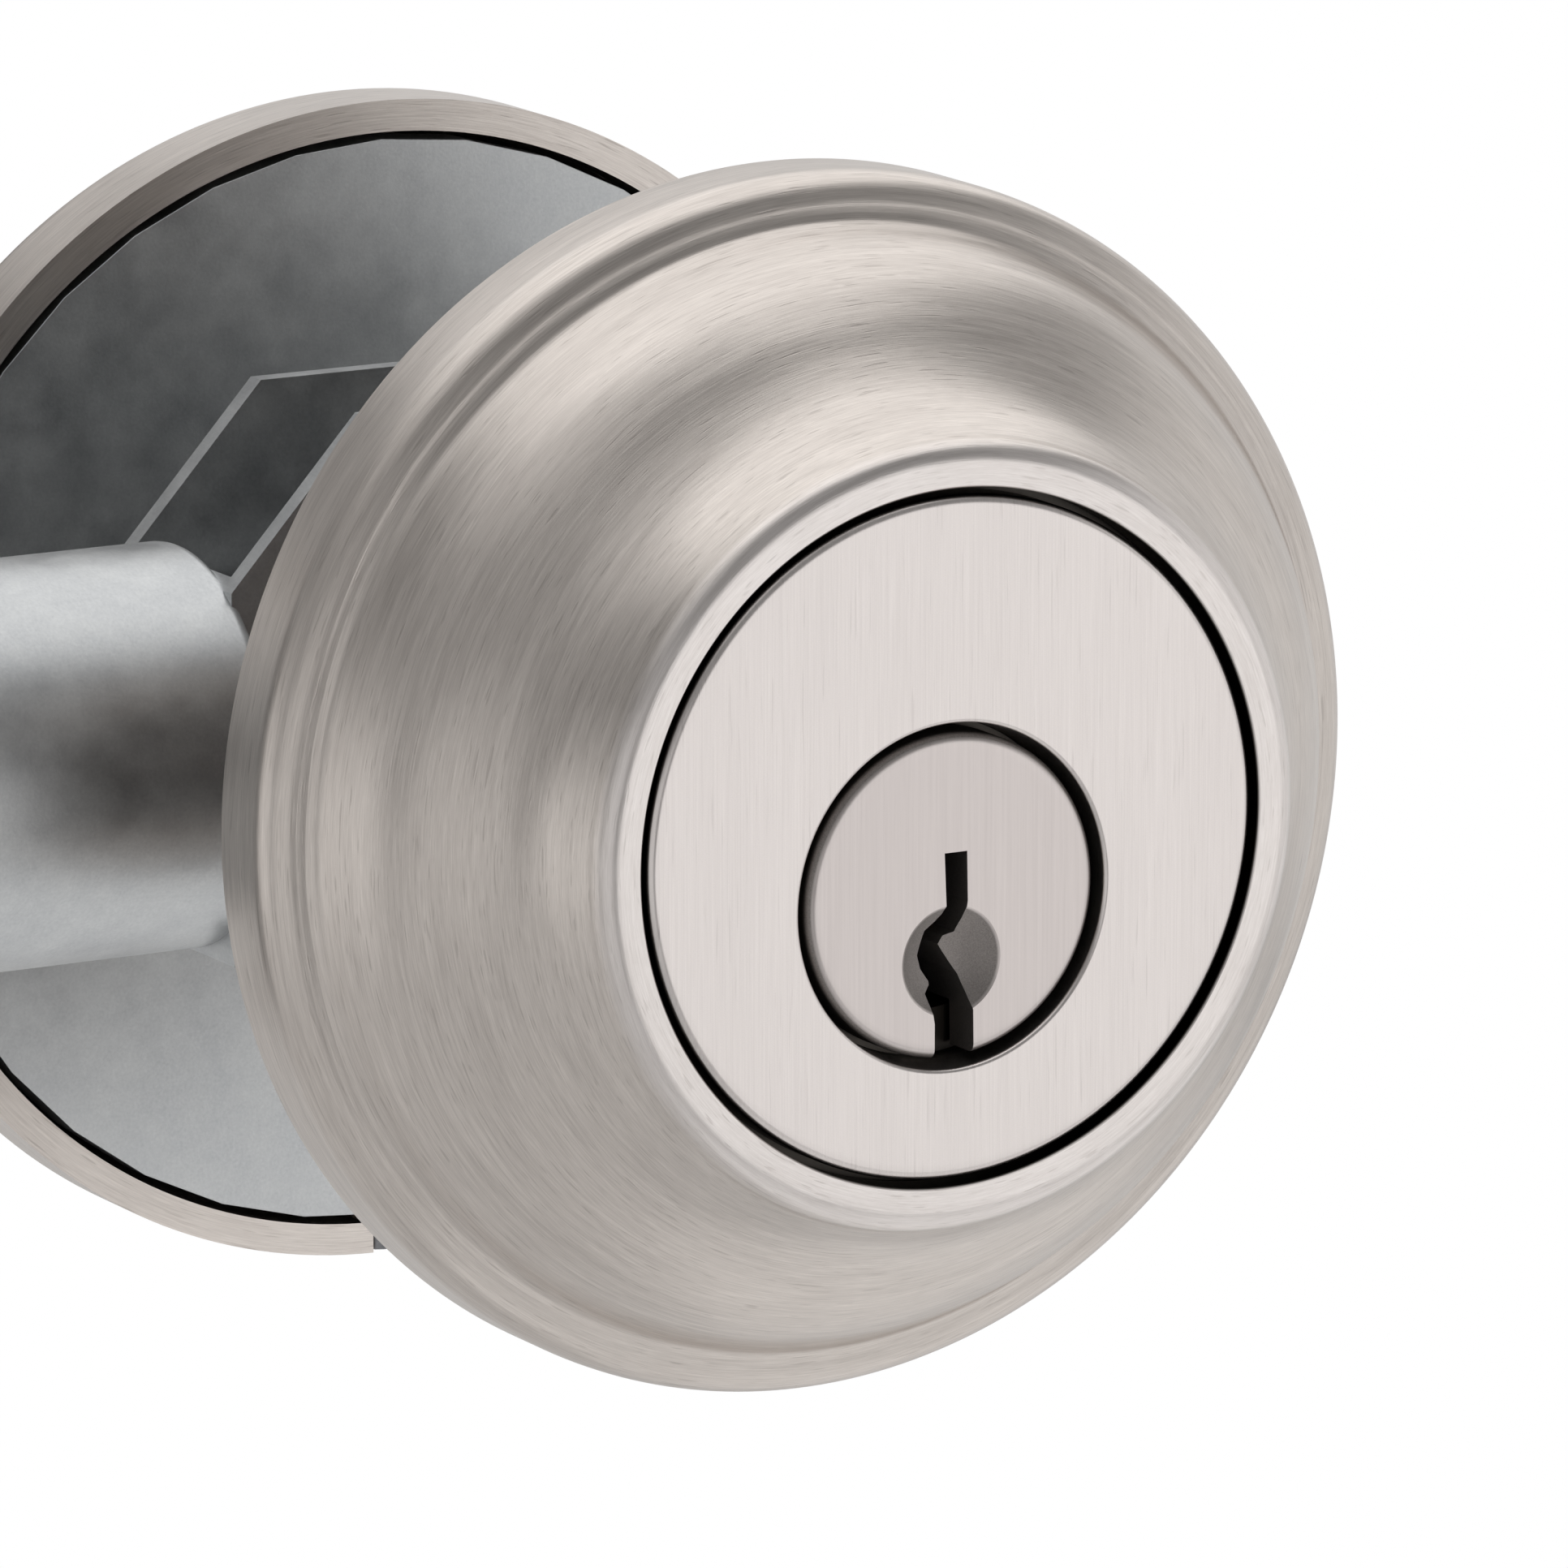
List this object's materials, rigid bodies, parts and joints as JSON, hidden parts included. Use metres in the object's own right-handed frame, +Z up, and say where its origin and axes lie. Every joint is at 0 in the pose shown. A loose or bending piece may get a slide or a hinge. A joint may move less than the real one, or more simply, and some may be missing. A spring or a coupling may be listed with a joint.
{
  "type": "deadbolt lock",
  "caption": "Single-cylinder tubular deadbolt in satin nickel: round ogee rose with a keyed cylinder, throwing bolt in its latch, and interior rose with thumbturn.",
  "frame": {"origin": "centre of the exterior rose's back, on the door's outer face", "axes": "-Y out of the door, +Y through it to the inside, -X the way the bolt is thrown, +Z up"},
  "size_m": [0.0936, 0.0978, 0.0697],
  "materials": {
    "satin_nickel": "satin, brushed round the turned shapes",
    "brushed_face_nickel": "satin, straight upright brushing",
    "pin_brass": "turned, bright",
    "spring_steel": "drawn, bright",
    "zinc_plated_steel": "zinc plated, dull",
    "hardened_steel": "hardened, dark"
  },
  "bodies": {
    "lock_body": {"rose_exterior": "satin_nickel", "cylinder_housing": "brushed_face_nickel", "pin_cover": "pin_brass", "driver_pin_1": "pin_brass", "driver_pin_2": "pin_brass", "driver_pin_3": "pin_brass", "driver_pin_4": "pin_brass", "driver_pin_5": "pin_brass", "pin_spring_1": "spring_steel", "pin_spring_2": "spring_steel", "pin_spring_3": "spring_steel", "pin_spring_4": "spring_steel", "pin_spring_5": "spring_steel", "faceplate": "satin_nickel", "latch_backplate": "zinc_plated_steel", "faceplate_screw_1": "satin_nickel", "faceplate_screw_2": "satin_nickel", "latch_case": "zinc_plated_steel", "mounting_plate": "zinc_plated_steel", "mounting_screw_1": "zinc_plated_steel", "mounting_screw_2": "zinc_plated_steel", "rose_interior": "satin_nickel", "rose_set_screw": "hardened_steel"},
    "plug_body": {"plug": "brushed_face_nickel", "plug_retaining_clip": "spring_steel", "tailpiece_cap": "zinc_plated_steel", "key_pin_1": "pin_brass", "key_pin_2": "pin_brass", "key_pin_3": "pin_brass", "key_pin_4": "pin_brass", "key_pin_5": "pin_brass"},
    "tailpiece_body": {"tailpiece": "zinc_plated_steel"},
    "hub_body": {"hub": "zinc_plated_steel", "crank_arm": "zinc_plated_steel", "crank_pin": "hardened_steel"},
    "bolt_body": {"bolt": "satin_nickel", "bolt_core": "hardened_steel", "bolt_tail": "zinc_plated_steel", "bolt_tail_pin": "spring_steel"},
    "thumbturn_body": {"thumbturn": "satin_nickel", "shaft_retaining_ring": "spring_steel", "wave_washer": "spring_steel"}
  },
  "joints": [
    {"name": "plug_turn", "type": "hinge", "parent": "lock_body", "child": "plug_body", "pos_m": [0, -0.019, -0.0031], "axis": [0, -1, 0], "range_deg": [-90, 90]},
    {"name": "thumbturn_turn", "type": "hinge", "parent": "lock_body", "child": "thumbturn_body", "pos_m": [0, 0.05745, -0.0031], "axis": [0, -1, 0], "range_deg": [0, 90]},
    {"name": "tailpiece_turn", "type": "hinge", "parent": "lock_body", "child": "tailpiece_body", "pos_m": [0, 0.0104, -0.0031], "axis": [0, -1, 0], "range_deg": [0, 90]},
    {"name": "hub_turn", "type": "hinge", "parent": "lock_body", "child": "hub_body", "pos_m": [0, 0.02223, -0.0031], "axis": [0, -1, 0], "range_deg": [0, 90]},
    {"name": "bolt_throw", "type": "slide", "parent": "lock_body", "child": "bolt_body", "axis": [-1, 0, 0], "range_m": [0, 0.0254]}
  ],
  "couplings": [
    {"joint": "thumbturn_turn", "follows": "bolt_throw", "rad_per_m": 61.84},
    {"joint": "tailpiece_turn", "follows": "bolt_throw", "rad_per_m": 61.84},
    {"joint": "hub_turn", "follows": "bolt_throw", "rad_per_m": 61.84}
  ]
}
